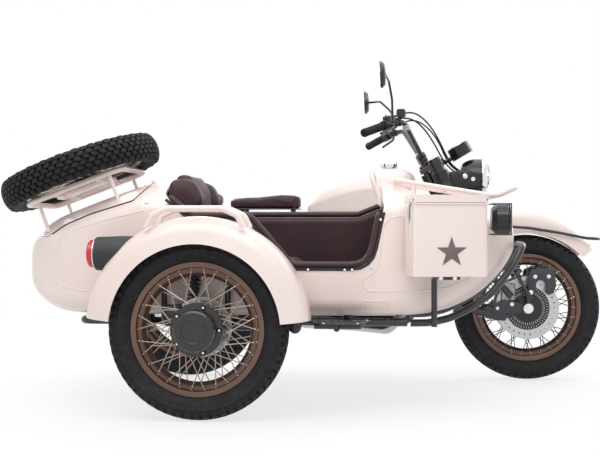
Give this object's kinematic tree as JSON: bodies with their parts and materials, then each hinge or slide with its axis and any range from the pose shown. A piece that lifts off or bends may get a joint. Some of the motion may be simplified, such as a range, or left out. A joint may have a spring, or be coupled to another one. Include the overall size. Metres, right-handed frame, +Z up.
{
  "type": "sidecar motorcycle",
  "caption": "Retro motorcycle with a sidecar on its right, an open cockpit, a boot lid that carries the spare wheel, a side box and wire wheels with knobby tyres.",
  "frame": {"origin": "centre of the bounding box, on the ground", "axes": "+X forward, towards the front wheel; +Y to the rider's left, with the sidecar at -Y; +Z up"},
  "size_m": [2.5122, 1.771, 1.3857],
  "materials": {
    "cream_paint": "satin",
    "black_paint": "satin",
    "black_plastic": "matte",
    "brown_leather": "satin",
    "bronze_rim": "satin metallic",
    "tyre_rubber": "matte",
    "steel": "brushed",
    "chrome": "polished",
    "alloy": "cast",
    "engine_black": "painted",
    "red_lens": "clear",
    "lamp_black": "gloss",
    "rubber": "matte"
  },
  "bodies": {
    "rear_wheel": {"rear_tyre": "tyre_rubber", "rear_wheel": "bronze_rim", "rear_sprocket_and_disc": "steel"},
    "front_wheel": {"front_tyre": "tyre_rubber", "front_wheel": "bronze_rim", "front_discs": "steel"},
    "sidecar_wheel": {"sidecar_tyre": "tyre_rubber", "sidecar_wheel": "bronze_rim"},
    "chassis": {"bike_frame": "black_paint", "crankcase": "engine_black", "cylinders": "engine_black", "cam_cover": "alloy", "radiator": "engine_black", "exhaust": "steel", "swingarm": "black_paint", "drive_chain": "steel", "rear_shocks": "black_paint", "fuel_tank": "cream_paint", "fuel_cap": "chrome", "rider_saddle": "brown_leather", "saddle_springs": "black_paint", "pillion_saddle": "brown_leather", "side_covers": "cream_paint", "rear_fender": "cream_paint", "tail_lamp": "lamp_black", "sidecar_links": "black_paint", "sidecar_frame": "black_paint", "sidecar_swingarm": "black_paint", "sidecar_shock": "black_paint", "sidecar_body": "cream_paint", "cockpit_trim": "brown_leather", "seat_cushion": "brown_leather", "seat_backrest": "brown_leather", "body_rails": "cream_paint", "crash_bar": "black_paint", "sidecar_fender": "cream_paint", "fender_hoops": "cream_paint", "sidecar_tail_lamp": "lamp_black", "side_box": "cream_paint", "side_box_bracket": "black_paint", "side_lamp": "lamp_black", "step_plate": "black_paint"},
    "steering": {"fork": "black_paint", "front_link": "black_paint", "front_shocks": "black_paint", "front_calipers": "alloy", "handlebar": "black_paint", "grips": "rubber", "hand_controls": "black_plastic", "mirrors": "lamp_black", "headlight": "lamp_black", "instrument": "lamp_black", "control_cables": "rubber", "front_fender": "cream_paint", "fender_rail": "black_paint"},
    "boot_lid": {"boot_lid": "cream_paint", "spare_rack": "cream_paint", "spare_tyre": "tyre_rubber", "spare_wheel": "bronze_rim"},
    "box_lid": {"box_lid": "cream_paint"}
  },
  "joints": [
    {"name": "steering", "type": "hinge", "parent": "chassis", "child": "steering", "pos_m": [0.79663, 0.3795, 0.32778], "axis": [-0.4617, 0, 0.887], "range_deg": [-35, 35]},
    {"name": "front_wheel_spin", "type": "hinge", "parent": "steering", "child": "front_wheel", "pos_m": [0.92763, 0.3795, 0.32728], "axis": [0, 1, 0], "continuous": true},
    {"name": "rear_wheel_spin", "type": "hinge", "parent": "chassis", "child": "rear_wheel", "pos_m": [-0.61837, 0.3795, 0.32728], "axis": [0, 1, 0], "continuous": true},
    {"name": "sidecar_wheel_spin", "type": "hinge", "parent": "chassis", "child": "sidecar_wheel", "pos_m": [-0.36836, -0.7705, 0.32728], "axis": [0, 1, 0], "continuous": true},
    {"name": "boot_lid_hinge", "type": "hinge", "parent": "chassis", "child": "boot_lid", "pos_m": [-0.61537, -0.3205, 0.86978], "axis": [0, 1, 0], "range_deg": [0, 50]},
    {"name": "box_lid_hinge", "type": "hinge", "parent": "chassis", "child": "box_lid", "pos_m": [0.65791, -0.65406, 0.78478], "axis": [-0.1736, 0.9848, 0], "range_deg": [0, 95]}
  ]
}
